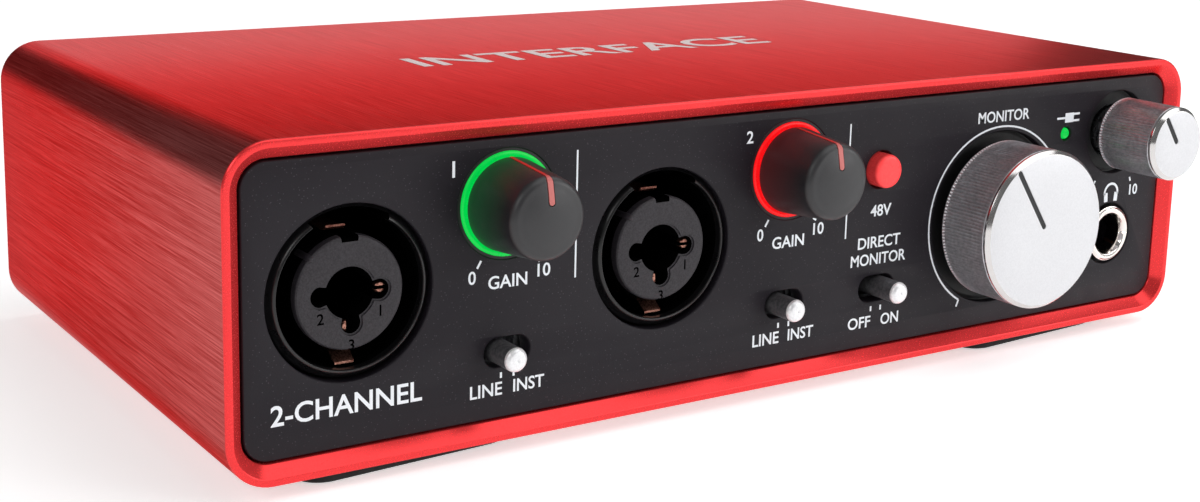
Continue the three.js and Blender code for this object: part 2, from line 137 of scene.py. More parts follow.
def soften(points, radius, steps=3, closed=False):
    """Round an outline's corners. A point's third value is a radius of its own, and 0 keeps it sharp."""
    softened = []
    for i, point in enumerate(points):
        corner = Vector(point[:2])
        reach = point[2] if len(point) > 2 else radius
        is_end = not closed and i in (0, len(points) - 1)
        if is_end or reach == 0:
            softened.append(corner)
            continue
        before = Vector(points[i - 1][:2]) - corner
        after = Vector(points[(i + 1) % len(points)][:2]) - corner
        start = corner + before.normalized() * min(reach, before.length * 0.49)
        end = corner + after.normalized() * min(reach, after.length * 0.49)
        for step in range(steps + 1):
            t = step / steps
            softened.append(start.lerp(corner, t).lerp(corner.lerp(end, t), t))
    return softened


def at_turn(x, z, radius, turn):
    """The point that lies at an angle in radians on a circle."""
    return x + radius * math.cos(turn), z + radius * math.sin(turn)


def arc(x, z, radius, degrees):
    """The points that lie at angles in degrees on a circle."""
    return [at_turn(x, z, radius, math.radians(turn)) for turn in degrees]


def circle(x, z, radius, count=96):
    return [at_turn(x, z, radius, 2 * math.pi * i / count) for i in range(count)]


def rectangle(x, z, width, height):
    corners = ((-1, -1), (1, -1), (1, 1), (-1, 1))
    return [(x + side * width / 2, z + level * height / 2) for side, level in corners]


def rounded_rectangle(x, z, width, height, radius, steps=12):
    corners = ((1, 1), (-1, 1), (-1, -1), (1, -1))
    outline = []
    for quarter, (side, level) in enumerate(corners):
        corner_x = x + side * (width / 2 - radius)
        corner_z = z + level * (height / 2 - radius)
        for step in range(steps + 1):
            turn = (quarter + step / steps) * math.pi / 2
            outline.append(at_turn(corner_x, corner_z, radius, turn))
    return outline


def case_outline(inset):
    """The outline that lies a given distance inside the case's own section."""
    width = CASE_SIZE.x - 2 * inset
    height = CASE_SIZE.z - 2 * inset
    return rounded_rectangle(0, CASE_SIZE.z / 2, width, height, CASE_CORNER - inset)


def join_rings(bm, first, second, finish=0):
    """Faces between two rings of vertices. A ring of one vertex is a pole."""
    count = max(len(first), len(second))
    for i in range(count):
        k = (i + 1) % count
        near = (first[i % len(first)], first[k % len(first)])
        far = (second[k % len(second)], second[i % len(second)])
        corners = dict.fromkeys(near + far)
        bm.faces.new(list(corners)).material_index = finish


def loft(bm, rings, finish=0, capped=True):
    """Faces along a row of rings of vertices, and over both ends if it is capped."""
    for first, second in zip(rings, rings[1:]):
        join_rings(bm, first, second, finish)
    if capped:
        for ring in (rings[0], rings[-1]):
            bm.faces.new(ring).material_index = finish


def weld(bm, distance=1e-3):
    bmesh.ops.remove_doubles(bm, verts=bm.verts, dist=distance)


def add_turned(bm, profile, centre, count=96, finish=0, closed=False):
    """Turn (radius, y) points about the y axis through a centre.

    A third value is the depth of ribs cut there, with four steps to a rib.
    """
    rings = []
    for point in profile:
        radius, y = point[:2]
        depth = point[2] if len(point) > 2 else 0
        if radius < 1e-6:
            rings.append([bm.verts.new((centre.x, y, centre.z))])
            continue
        ring = []
        for i in range(count):
            reach = radius - depth * (0, 0.8, 1, 0.8)[i % 4]
            x, z = at_turn(centre.x, centre.z, reach, 2 * math.pi * i / count)
            ring.append(bm.verts.new((x, y, z)))
        rings.append(ring)
    loft(bm, rings, finish, capped=False)
    if closed:
        join_rings(bm, rings[-1], rings[0], finish)


def turned(profile, centre, count=96, finish=0, closed=False):
    """A new mesh that holds one turned part."""
    bm = bmesh.new()
    add_turned(bm, profile, centre, count, finish, closed)
    return bm


def add_pushed(bm, outline, front, back, edge=0.0, finish=0):
    """Push an outline of (x, z) points along y. An edge other than 0 is the width of a chamfer."""
    centre = Vector([sum(values) / len(outline) for values in zip(*outline)])
    levels = [(front, 0), (back, 0)]
    if edge:
        levels = [(front, edge), (front + edge, 0), (back - edge, 0), (back, edge)]
    rings = []
    for y, inset in levels:
        ring = []
        for x, z in outline:
            out = Vector((x, z)) - centre
            share = min(1.0, inset / out.length) if inset else 0.0
            ring.append(bm.verts.new((x - share * out.x, y, z - share * out.y)))
        rings.append(ring)
    loft(bm, rings, finish)


def pushed(outline, front, back, edge=0.0, finish=0):
    """A new mesh that holds one pushed part."""
    bm = bmesh.new()
    add_pushed(bm, outline, front, back, edge, finish)
    return bm


def band(centre, outer, inner, half_widths):
    """A new mesh with a strip between two (radius, y) paths that run straight up from a centre."""
    bm = bmesh.new()
    sections = []
    for far, near, reach in zip(outer, inner, half_widths):
        corners = ((-reach, far), (reach, far), (reach, near), (-reach, near))
        places = [(centre.x + side, y, centre.z + radius) for side, (radius, y) in corners]
        sections.append([bm.verts.new(place) for place in places])
    loft(bm, sections)
    return bm


def add_stroke(bm, path, width):
    """A printed line of one width along (x, z) points on the front panel."""
    points = [Vector(point) for point in path]
    left, right = [], []
    for i, point in enumerate(points):
        along = (points[min(i + 1, len(points) - 1)] - points[max(i - 1, 0)]).normalized()
        across = Vector((-along.y, along.x)) * width / 2
        left.append(point + across)
        right.append(point - across)
    rows = []
    for y in (PANEL_FRONT - PRINT_HEIGHT, PANEL_FRONT + PRINT_HEIGHT):
        rows.append([[bm.verts.new((point.x, y, point.y)) for point in side] for side in (left, right)])
    (front_left, front_right), (back_left, back_right) = rows
    loft(bm, list(zip(front_left, front_right, back_right, back_left)))


def add_object(name, data):
    """A new object in the scene that shows a mesh, a curve, a lamp or a camera."""
    item = bpy.data.objects.new(name, data)
    bpy.context.scene.collection.objects.link(item)
    return item


def mesh_of(curve, matrix):
    """A curve's mesh as a welded bmesh, moved by a matrix."""
    holder = add_object("holder", curve)
    graph = bpy.context.evaluated_depsgraph_get()
    mesh = bpy.data.meshes.new_from_object(holder.evaluated_get(graph))
    bm = bmesh.new()
    bm.from_mesh(mesh)
    weld(bm, 1e-4)
    bm.transform(matrix)
    bpy.data.objects.remove(holder)
    bpy.data.meshes.remove(mesh)
    return bm


def add_mesh(bm, extra):
    """Copy one bmesh into another and free it."""
    mesh = bpy.data.meshes.new("extra")
    extra.to_mesh(mesh)
    extra.free()
    bm.from_mesh(mesh)
    bpy.data.meshes.remove(mesh)


def plate(outline, holes, front, back, edge):
    """A flat plate with holes, its edges rounded, standing across y."""
    curve = bpy.data.curves.new("plate", "CURVE")
    curve.dimensions = "2D"
    curve.fill_mode = "BOTH"
    curve.extrude = (back - front) / 2 - edge
    curve.bevel_depth = edge
    curve.bevel_resolution = 2
    curve.offset = -edge
    for loop in (outline, *holes):
        spline = curve.splines.new("POLY")
        spline.points.add(len(loop) - 1)
        for point, (x, z) in zip(spline.points, loop):
            point.co = (x, z, 0, 1)
        spline.use_cyclic_u = True
    stand_up = Matrix.Translation((0, (front + back) / 2, 0)) @ Matrix.Rotation(math.pi / 2, 4, "X")
    return mesh_of(curve, stand_up)


def lettering(text, place, height, width=None, thickness=PRINT_HEIGHT):
    """Capital letters centred on a place, whose matrix has x along the line and y up the letters."""
    curve = bpy.data.curves.new("lettering", "FONT")
    curve.body = text
    curve.resolution_u = 4
    curve.offset = 0.014  # a slightly bolder stroke
    bm = mesh_of(curve, Matrix.Identity(4))
    xs = [vertex.co.x for vertex in bm.verts]
    ys = [vertex.co.y for vertex in bm.verts]
    tall = height / (max(ys) - min(ys))
    wide = width / (max(xs) - min(xs)) if width else tall
    to_middle = Matrix.Translation((-(min(xs) + max(xs)) / 2, -(min(ys) + max(ys)) / 2, 0))
    bm.transform(Matrix.Diagonal((wide, tall, 1, 1)) @ to_middle)
    lifted = bmesh.ops.extrude_face_region(bm, geom=list(bm.faces))["geom"]
    raised = [item for item in lifted if isinstance(item, bmesh.types.BMVert)]
    bmesh.ops.translate(bm, verts=raised, vec=(0, 0, thickness))
    bm.transform(place)
    return bm


def facing_front(x, z, y=PANEL_FRONT):
    return Matrix.Translation((x, y, z)) @ Matrix.Rotation(math.pi / 2, 4, "X")


def facing_back(x, z):
    turn = Matrix.Rotation(math.pi, 4, "Z") @ Matrix.Rotation(math.pi / 2, 4, "X")
    return Matrix.Translation((x, REAR_BACK, z)) @ turn


def facing_up(x, y):
    return Matrix.Translation((x, y, CASE_SIZE.z))


def make_object(name, bm, finishes=()):
    """An object in the frame's metres, made from a mesh in case millimetres and a list of finish names."""
    bmesh.ops.recalc_face_normals(bm, faces=bm.faces)
    bm.transform(case_to_frame)
    mesh = bpy.data.meshes.new(name)
    bm.to_mesh(mesh)
    bm.free()
    for finish in finishes:
        mesh.materials.append(FINISHES[finish])
    return add_object(name, mesh)


def cut_away(item, cutter):
    """Cut a solid out of an object. The faces that this leaves have the cutter's finish numbers."""
    tool = make_object("cutter", cutter)
    modifier = item.modifiers.new("cut", "BOOLEAN")
    modifier.operation = "DIFFERENCE"
    modifier.solver = "EXACT"
    modifier.object = tool
    graph = bpy.context.evaluated_depsgraph_get()
    mesh = bpy.data.meshes.new_from_object(item.evaluated_get(graph))
    item.modifiers.clear()
    item.data = mesh
    bpy.data.objects.remove(tool)


def piece(name, bm, finishes, body="chassis", stands_for=None, cutters=(), crease=32):
    """A finished object that rides on a CAD body and may stand for a CAD node."""
    item = make_object(name, bm, finishes)
    for cutter in cutters:
        cut_away(item, cutter)
    item.data.shade_smooth()
    item.data.set_sharp_from_angle(angle=math.radians(crease))
    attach(item, body)
    if stands_for:
        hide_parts(stands_for)


# ---- Finishes ----


def shade(red, green, blue):
    """A linear colour from display values of 0 to 255."""

    def linear(value):
        value /= 255
        return value / 12.92 if value <= 0.04045 else ((value + 0.055) / 1.055) ** 2.4

    return linear(red), linear(green), linear(blue), 1.0


def set_inputs(node, **values):
    """Set a node's sockets by name, with underscores for the spaces in the names."""
    for name, value in values.items():
        node.inputs[name.replace("_", " ")].default_value = value


class Finish:
    """A Principled material, with procedural textures in the object's own metres."""

    def __init__(self, name, colour, roughness, metallic=0.0, **sockets):
        self.material = bpy.data.materials.new(name)
        self.material.use_nodes = True
        self.nodes = self.material.node_tree.nodes
        self.links = self.material.node_tree.links
        self.shader = self.nodes["Principled BSDF"]
        set_inputs(self.shader, Base_Color=colour, Roughness=roughness, Metallic=metallic, **sockets)
        self.position = self.nodes.new("ShaderNodeTexCoord").outputs["Object"]

    def lay_out(self, texture, stretch=(1, 1, 1)):
        """Lay a texture over the object in millimetres."""
        mapping = self.nodes.new("ShaderNodeMapping")
        set_inputs(mapping, Scale=[share / MM for share in stretch])
        self.links.new(self.position, mapping.inputs["Vector"])
        self.links.new(mapping.outputs["Vector"], texture.inputs["Vector"])

    def noise(self, per_mm, stretch=(1, 1, 1), detail=3.0, roughness=0.55):
        """Noise with so many features to a millimetre, drawn out along an axis where stretch is small."""
        texture = self.nodes.new("ShaderNodeTexNoise")
        set_inputs(texture, Scale=per_mm, Detail=detail, Roughness=roughness)
        self.lay_out(texture, stretch)
        return texture.outputs["Fac"]

    def specks(self, per_mm, size):
        """Small round specks: 1 in the middle of each and 0 between them."""
        cells = self.nodes.new("ShaderNodeTexVoronoi")
        set_inputs(cells, Scale=per_mm)
        self.lay_out(cells)
        return self.spread(cells.outputs["Distance"], size, 0.0)

    def spread(self, source, from_low, from_high, to_low=0.0, to_high=1.0):
        """Stretch one range of values over another, and hold it at its ends."""
        node = self.nodes.new("ShaderNodeMapRange")
        set_inputs(node, From_Min=from_low, From_Max=from_high, To_Min=to_low, To_Max=to_high)
        self.links.new(source, node.inputs["Value"])
        return node.outputs["Result"]

    def along_y(self, start, end):
        """0 at start and 1 at end along the case's y axis, in millimetres."""
        split = self.nodes.new("ShaderNodeSeparateXYZ")
        self.links.new(self.position, split.inputs["Vector"])
        return self.spread(split.outputs["Y"], CASE_ORIGIN.y + start * MM, CASE_ORIGIN.y + end * MM)

    def colour(self, source, first, second):
        """A colour between two, as far as source says."""
        node = self.nodes.new("ShaderNodeMix")
        node.data_type = "RGBA"
        node.inputs[6].default_value = first  # the sockets A and B of the colour type
        node.inputs[7].default_value = second
        self.links.new(source, node.inputs["Factor"])
        self.links.new(node.outputs[2], self.shader.inputs["Base Color"])

    def gloss(self, source, low, high):
        """Roughness between two values as the noise goes from dark to light."""
        self.links.new(self.spread(source, 0.3, 0.7, low, high), self.shader.inputs["Roughness"])

    def relief(self, source, depth):
        """Raise the surface by up to depth millimetres."""
        bump = self.nodes.new("ShaderNodeBump")
        set_inputs(bump, Distance=depth * MM)
        self.links.new(source, bump.inputs["Height"])
        self.links.new(bump.outputs["Normal"], self.shader.inputs["Normal"])

    def glow(self, colour, source):
        """Light of one colour, as strong as source says."""
        set_inputs(self.shader, Emission_Color=colour)
        self.links.new(source, self.shader.inputs["Emission Strength"])


def anodised_red(name, dark, light, tint, roughness, uneven, metallic=0.97, stretch=(1, 1, 1), depth=0.0):
    """Brushed and dyed aluminium, with painted sheen and light taken into its colours. A stretch draws out
    brush lines and the tint shows at low angles.
    """
    finish = Finish(name, dark, roughness, metallic, Specular_Tint=tint)
    lines = finish.noise(7.0, stretch, detail=3.0, roughness=0.7)
    finish.colour(finish.spread(lines, 0.36, 0.64), dark, light)
    finish.gloss(finish.noise(5.0, stretch), roughness - uneven, roughness + uneven)
    finish.relief(lines, depth)
    return finish.material


def grained(name, dark, light, roughness, metallic=0.0, per_mm=3.5, depth=0.02, **sockets):
    """A moulded or coated surface with fine grain and a little uneven colour."""
    finish = Finish(name, dark, roughness, metallic, **sockets)
    grain = finish.noise(per_mm, detail=2.0)
    finish.colour(finish.spread(grain, 0.3, 0.7), dark, light)
    finish.gloss(finish.noise(per_mm / 6), roughness - 0.05, roughness + 0.05)
    finish.relief(grain, depth)
    return finish.material


def coated_panel(name):
    """Satin black paint, with small light specks painted into its colour as painted glints off its fine
    texture.
    """
    finish = Finish(name, shade(29, 25, 31), 0.5, Specular_IOR_Level=0.23)
    # Painted glints: small light specks in the base colour.
    painted_glints = finish.specks(1.9, 0.16)
    finish.colour(painted_glints, shade(29, 25, 31), shade(90, 86, 92))
    finish.gloss(finish.noise(0.3), 0.42, 0.52)
    finish.relief(finish.noise(4.0, detail=2.0), 0.012)
    return finish.material


def soft_touch(name, glow):
    """Soft black plastic, with a painted glow of the light ring's colour near its foot, fading towards its
    front.
    """
    finish = Finish(name, shade(26, 25, 28), 0.42, Specular_IOR_Level=0.65)
    grain = finish.noise(7.0, detail=2.0)
    finish.colour(grain, shade(22, 21, 24), shade(38, 37, 40))
    finish.gloss(finish.noise(0.8), 0.4, 0.48)
    finish.relief(grain, 0.006)
    # Painted glow: emission in the light ring's colour stands in for the ring's light falling on the knob.
    near = finish.along_y(GAIN_FRONT + 1.6, GAIN_BACK - 2)
    finish.glow(glow, finish.spread(near, 0.0, 1.0, 0.0, 0.032))
    return finish.material


def pointer_ink(name):
    """Pink on the knob's face and deep red down its side: painted light on the face and painted shade down
    the side.
    """
    finish = Finish(name, shade(206, 116, 112), 0.5)
    # Painted light and shade: lighter pink on the face, darker red down the side.
    down = finish.along_y(GAIN_FRONT + 0.1, GAIN_FRONT + 1.6)
    finish.colour(down, shade(202, 110, 106), shade(206, 40, 36))
    finish.gloss(finish.noise(3.0), 0.45, 0.6)
    finish.relief(finish.noise(6.0), 0.006)
    return finish.material


def turned_metal(name, dark, light, roughness, per_mm=2.0, metallic=1.0, depth=0.004):
    """Machined bright metal with faint tool marks."""
    finish = Finish(name, light, roughness, metallic)
    marks = finish.noise(per_mm, detail=3.0)
    finish.colour(finish.spread(marks, 0.35, 0.65), dark, light)
    finish.gloss(finish.noise(per_mm / 3), 0.85 * roughness, 1.15 * roughness)
    finish.relief(marks, depth)
    return finish.material


def lit_plastic(name, colour, strength, surface, side_shade_span=None):
    """Translucent plastic with a lamp behind it. Two places along y, when given, are where its glow dims
    towards the side, painting shade there.
    """
    finish = Finish(name, surface, 0.25, Specular_IOR_Level=0.25)
    finish.gloss(finish.noise(1.5), 0.24, 0.32)
    finish.relief(finish.noise(2.5), 0.0006)
    if side_shade_span:
        # Painted shade: the glow dims from the face towards the side.
        level = finish.spread(finish.along_y(*side_shade_span), 0.0, 1.0, strength, 0.2 * strength)
    else:
        level = finish.spread(finish.noise(0.25, detail=1.0), 0.3, 0.7, 0.92 * strength, 1.05 * strength)
    finish.glow(colour, level)
    return finish.material


def printed(name, colour):
    """Screen-printed ink."""
    finish = Finish(name, colour, 0.45)
    finish.colour(finish.noise(2.0), tuple(0.9 * part for part in colour[:3]) + (1.0,), colour)
    finish.relief(finish.noise(6.0), 0.004)
    return finish.material


def coating_finishes():
    """Dyed metal, paint and print on the case."""
    # The sleeve's colours are paler and pinker than its red dye: a painted sheen stands in for the white
    # reflection on its sides.
    red = {"dark": shade(152, 84, 82), "light": shade(204, 128, 126), "tint": shade(255, 106, 108)}
    # The rim is a brighter, less metallic copy of the red: painted light on the cut edge, beside its real
    # smoother finish.
    rim = {"dark": shade(239, 58, 60), "light": shade(245, 66, 68), "tint": shade(255, 170, 170)}
    brushed = {"roughness": 0.3, "uneven": 0.03, "stretch": (1, 0.008, 1), "depth": 0.018}
    return {
        "sleeve": anodised_red("anodised_sleeve", **red, **brushed),
        "rim": anodised_red("anodised_rim", **rim, roughness=0.27, uneven=0.006, metallic=0.6),
        "panel": coated_panel("panel_paint"),
        "rear": grained("rear_paint", shade(34, 33, 36), shade(48, 47, 50), 0.5),
        "print": printed("print_white", shade(246, 250, 255)),
        "etch": printed("etched_white", shade(236, 214, 212)),
    }


def plastic_finishes():
    """Black plastics and rubber, boards and lit plastics."""
    socket = {"roughness": 0.3, "per_mm": 4.0, "depth": 0.008, "Specular_IOR_Level": 0.5}
    insert = {"roughness": 0.46, "per_mm": 4.0, "depth": 0.035, "Specular_IOR_Level": 0.35}
    rubber = {"roughness": 0.85, "per_mm": 2.5, "depth": 0.04}
    side_shade_span = (-0.45, 0.15)
    return {
        # Darker than the panel paint: painted shade in the recesses and gaps behind the panel's openings.
        "dish": grained("recess_shade_black", shade(13, 13, 14), shade(20, 20, 22), 0.55),
        "gain_1": soft_touch("soft_touch_painted_green_glow", (0.0, 1.0, 0.25, 1.0)),
        "gain_2": soft_touch("soft_touch_painted_red_glow", (1.0, 0.02, 0.02, 1.0)),
        "pointer": pointer_ink("pointer_pink"),
        "socket": grained("socket_black", shade(9, 9, 10), shade(17, 16, 18), **socket),
        # Near black with no shine: painted shade in bores, holes, cuts, engraved numbers and pin shanks.
        "painted_shade": grained("near_black_painted_shade", shade(3, 3, 3), shade(5, 5, 5), 0.9, Specular_IOR_Level=0.0),
        "insert": grained("insert_black", shade(32, 29, 33), shade(52, 48, 53), **insert),
        "engraved": grained("engraved_line", shade(26, 25, 27), shade(40, 39, 42), 0.6),
        "rubber": grained("foot_rubber", shade(18, 18, 19), shade(30, 30, 31), **rubber),
        "board": grained("board_green", shade(18, 70, 36), shade(30, 92, 50), 0.42, per_mm=0.8),
        "chip": grained("chip_black", shade(24, 25, 28), shade(38, 39, 42), 0.5, per_mm=3.0),
        "green": lit_plastic("light_green", (0.0, 0.6, 0.065, 1.0), 1.0, shade(0, 80, 30)),
        "red": lit_plastic("light_red", (1.0, 0.005, 0.008, 1.0), 0.9, shade(120, 14, 14)),
        "button": lit_plastic("button_red", (1.0, 0.07, 0.07, 1.0), 0.82, shade(170, 40, 42), side_shade_span),
    }


def metal_finishes():
    """Bare metals: contacts, knobs, levers, connectors and hidden hardware."""
    satin = {"roughness": 0.5, "per_mm": 4.0, "metallic": 0.3, "depth": 0.0005}
    knurl = {"roughness": 0.33, "per_mm": 1.5, "metallic": 0.76, "depth": 0.002}
    edge = {"roughness": 0.16, "per_mm": 0.4, "depth": 0}
    return {
        "copper": turned_metal("contact_copper", shade(128, 78, 66), shade(202, 150, 132), 0.35, 4.0),
        # A darker copper: painted shade for the upper leaf under the latch.
        "painted_shade_copper": turned_metal("painted_shade_copper", shade(84, 44, 38), shade(140, 96, 84), 0.45, 5.0),
        "satin": turned_metal("knob_face", shade(222, 222, 225), shade(228, 228, 231), **satin),
        "knurl": turned_metal("knob_knurl", shade(190, 189, 193), shade(218, 216, 220), **knurl),
        "polished": turned_metal("polished_edge", shade(208, 205, 204), shade(212, 209, 208), **edge),
        # The levers' one metal is painted as two: a dark side for painted reflection and a near-white tip
        # for painted highlight.
        "lever": turned_metal("lever_painted_reflection", shade(84, 84, 87), shade(112, 111, 114), 0.38, metallic=0.5),
        "tip": turned_metal("lever_tip_painted_highlight", shade(236, 236, 238), shade(250, 250, 252), 0.35, 4.0, 0.4, 0.001),
        "chrome": turned_metal("chrome", shade(228, 223, 218), shade(236, 232, 228), 0.12, 0.6, depth=0),
        "steel": turned_metal("steel", shade(120, 121, 124), shade(164, 165, 168), 0.34),
        "tin": turned_metal("tinned_steel", shade(160, 161, 164), shade(196, 197, 200), 0.28),
    }


FINISHES = {**coating_finishes(), **plastic_finishes(), **metal_finishes()}


# ---- Case ----


def build_sleeve():
    """The sleeve: a brushed outside, and a cut rim at each end."""
    depth = CASE_SIZE.y
    slope = CASE_WALL - RIM_LAND
    rim = [
        (0, depth / 2, 0), (0, 0, RIM_FILLET), (RIM_LAND, 0, 0.1), (CASE_WALL, slope, 0.15),
        (CASE_WALL, depth / 2, 0),
    ]
    front = soften(rim, 0.1)
    back = [Vector((inset, depth - y)) for inset, y in reversed(front)]
    section = front[:-1] + back[:-1]
    bm = bmesh.new()
    rings = [[bm.verts.new((x, y, z)) for x, z in case_outline(inset)] for inset, y in section]
    for i, ring in enumerate(rings):
        k = (i + 1) % len(rings)
        outside = max(section[i].x, section[k].x) < 1e-4
        join_rings(bm, ring, rings[k], 0 if outside else 1)
    piece("sleeve", bm, ["sleeve", "rim"], stands_for="outer_sleeve")


def foot_mesh(base):
    """A rounded rubber foot about the origin, with its sole at a height of base."""
    outline = rounded_rectangle(0, 0, FOOT_LENGTH, FOOT_WIDTH, FOOT_WIDTH / 2 - 0.01, steps=16)
    levels = [(-0.05, 0.0), (base * 0.55, 0.0), (base + 0.35, 0.12), (base + 0.1, 0.35), (base, 0.75)]
    bm = bmesh.new()
    rings = []
    for z, inset in levels:
        share_x = 1 - 2 * inset / FOOT_LENGTH
        share_y = 1 - 2 * inset / FOOT_WIDTH
        rings.append([bm.verts.new((x * share_x, y * share_y, z)) for x, y in outline])
    loft(bm, rings)
    return bm


def build_feet():
    for end, splay in (("front", FOOT_SPLAY), ("rear", -FOOT_SPLAY)):
        turn = Matrix.Rotation(math.radians(splay), 4, "Z")
        for side in SIDES:
            node = f"foot_{end}_{side}"
            centre = middle(node)
            bm = foot_mesh(span(node)[0].z)
            bm.transform(Matrix.Translation((centre.x, centre.y, 0)) @ turn)
            piece(f"rubber_{node}", bm, ["rubber"], stands_for=node)


def front_holes():
    """The outlines of every opening in the front panel."""
    round_holes = [(combo_middle(name), COMBO_HOLE, 96) for name in COMBOS]
    round_holes += [(middle(f"{name}_light_ring"), GAIN_HOLE, 96) for name in GAINS]
    round_holes += [
        (middle("monitor_knob"), MONITOR_RECESS, 96),
        (middle("headphone_knob"), HEADPHONE_RECESS, 64),
        (middle("headphone_bush"), BUSH_HOLE, 64),
        (middle("phantom_button"), BUTTON_HOLE, 48),
        (middle("status_light"), LIGHT_HOLE, 32),
    ]
    holes = [circle(centre.x, centre.z, radius, count) for centre, radius, count in round_holes]
    for x in SWITCH_X.values():
        holes.append(rounded_rectangle(x, SWITCH_Z, SLOT_WIDTH, SLOT_HEIGHT, SLOT_CORNER, steps=8))
    return holes


def build_front_panel():
    """The painted panel, with dishes and liners behind its round openings, in a darker black that paints
    shade into the recesses and gaps.
    """
    bm = plate(case_outline(CASE_WALL + PANEL_GAP), front_holes(), PANEL_FRONT, PANEL_BACK, 0.3)
    dishes = [
        ("monitor_knob", MONITOR_RECESS, 4.4), ("headphone_knob", HEADPHONE_RECESS, 4.4),
        ("headphone_bush", BUSH_HOLE, 4.8),
    ]
    for node, radius, inner in dishes:
        wall = [(radius + 0.5, 3.0), (radius - 0.02, 3.0), (radius - 0.5, 3.4), (inner, 3.4), (inner, 4.4)]
        profile = soften(wall + [(radius + 0.5, 4.4)], 0.2)
        add_turned(bm, profile, middle(node), finish=1, closed=True)
    # The liners fill the gaps round the light rings with the same painted shade.
    inside, outside = GAIN_RING + 0.05, GAIN_HOLE + 0.2
    liner = [(inside, 1.7), (outside, 1.7), (outside, 4.4), (inside, 4.4)]
    for name in GAINS:
        add_turned(bm, liner, middle(f"{name}_light_ring"), finish=1, closed=True)
    piece("painted_panel", bm, ["panel", "dish"], stands_for="front_panel", crease=25)


def build_rear_panel():
    """The rear plate, with connector openings, a lock slot and three pressed louvres."""
    usb = middle("usb_shell")
    nuts = [middle(f"line_out_{side}_nut") for side in SIDES]
    holes = [circle(nut.x, nut.z, LINE_OUT_HOLE) for nut in nuts]
    holes.append(rounded_rectangle(usb.x, usb.z, 12.6, 11.6, 0.6, steps=4))
    holes.append(rounded_rectangle(-68, 20, 7, 3, 0.8, steps=4))
    bm = plate(case_outline(CASE_WALL + PANEL_GAP), holes, REAR_FRONT, REAR_BACK, 0.25)
    for x in (-20.0, 0.0, 20.0):
        louvre = rounded_rectangle(x, 33.5, 14, 1.6, 0.79, steps=8)
        add_pushed(bm, louvre, REAR_BACK - 0.2, REAR_BACK + 0.35, 0.3)
    piece("rear_plate", bm, ["rear"], stands_for="rear_panel", crease=25)


def build_rear_screws():
    """Screws with a cross cut into each head."""
    head = REAR_BACK + 0.05
    top = head + 1.6
    for number in range(1, 5):
        node = f"rear_screw_{number}"
        centre = middle(node)
        tip = span(node)[0].y
        thread = [(0, tip), (1.25, tip + 0.4, 0.2), (1.25, head)]
        profile = thread + [(2.6, head), (2.6, head + 1.0), (2.1, top), (0, top)]
        bm = turned(soften(profile, 0.25), centre, 40)
        cross = [rectangle(centre.x, centre.z, *size) for size in ((3.0, 0.6), (0.6, 3.0))]
        slots = [pushed(outline, top - 0.8, top + 0.5) for outline in cross]
        piece(f"screw_{number}", bm, ["steel"], stands_for=node, cutters=slots)


# ---- Combination sockets ----


def build_combo_housing(name):
    """A flange with a raised lip round a deep bore, cut open at the top for the latch; the bore and the
    latch cut are near black with painted shade.
    """
    centre = combo_middle(name)
    lifted = centre + Vector((0, 0, COMBO_LIFT))
    edge = COMBO_HOLE - 0.1
    outside = [
        (0, COMBO_BACK), (edge, COMBO_BACK), (edge, 2.7, 0.3), (11.15, 2.3, 0.4), (10.8, 1.5, 0.2),
        (10.45, 1.3, 0.12), (COMBO_BORE, 1.6, 0.12), (COMBO_BORE, 2.6),
    ]
    bm = turned(soften(outside, 0.2), lifted, 128)
    bore = [(COMBO_BORE, 2.6), (COMBO_BORE, COMBO_BACK - 3), (0, COMBO_BACK - 3)]
    add_turned(bm, bore, lifted, 128, finish=1)
    weld(bm)
    add_pushed(bm, arch(centre, 11.35, 11.6), 1.75, 3.2)
    latch = pushed(arch(centre, 9.2, 11.3), 0.5, 7.5, finish=1)
    node = f"{name}_housing"
    piece(f"{name}_flange", bm, ["socket", "painted_shade"], stands_for=node, cutters=[latch])


def arch(centre, inner, outer):
    """The outline of a band over the top of a socket, between two radii."""
    degrees = range(60, 121, 5)
    return arc(centre.x, centre.z, outer, degrees) + arc(centre.x, centre.z, inner, reversed(degrees))


def hole_outline(centre, grow):
    """The jack hole and the three pin holes that break into it, as one outline."""
    outline = []
    for direction in circle(0, 0, 1, 240):
        aim = Vector(direction)
        reach = JACK_RADIUS + grow
        for pin in PINS.values():
            along = aim.dot(Vector(pin))
            inside = (PIN_RADIUS + grow) ** 2 - (Vector(pin).length_squared - along**2)
            if inside > 0:
                reach = max(reach, along + math.sqrt(inside))
        outline.append((centre.x + reach * aim.x, centre.z + reach * aim.y))
    return outline


def insert_cutters(centre):
    """What is cut out of an insert: a shallow step, the holes, the notch at the top and the pin numbers.
    The holes, the notch and the numbers are lined with painted shade.
    """
    front = INSERT_FRONT
    top = centre.z + INSERT_RADIUS
    notch = [(-1.45, top + 1), (-1.15, top - 0.85), (1.15, top - 0.85), (1.45, top + 1)]
    cutters = [
        pushed(hole_outline(centre, 0.28), front - 1, front + 0.22),
        pushed(hole_outline(centre, 0), front - 1, INSERT_BACK - 2, finish=1),
        pushed([(centre.x + side, z) for side, z in notch], front - 1, front + 12, finish=1),
    ]
    for number, (dx, dz) in PINS.items():
        place = facing_front(centre.x + dx * 1.02, centre.z + dz - 2.85, front + 0.4)
        digit = lettering(number, place, 1.5, thickness=0.8)
        for face in digit.faces:
            face.material_index = 1
        cutters.append(digit)
    return cutters


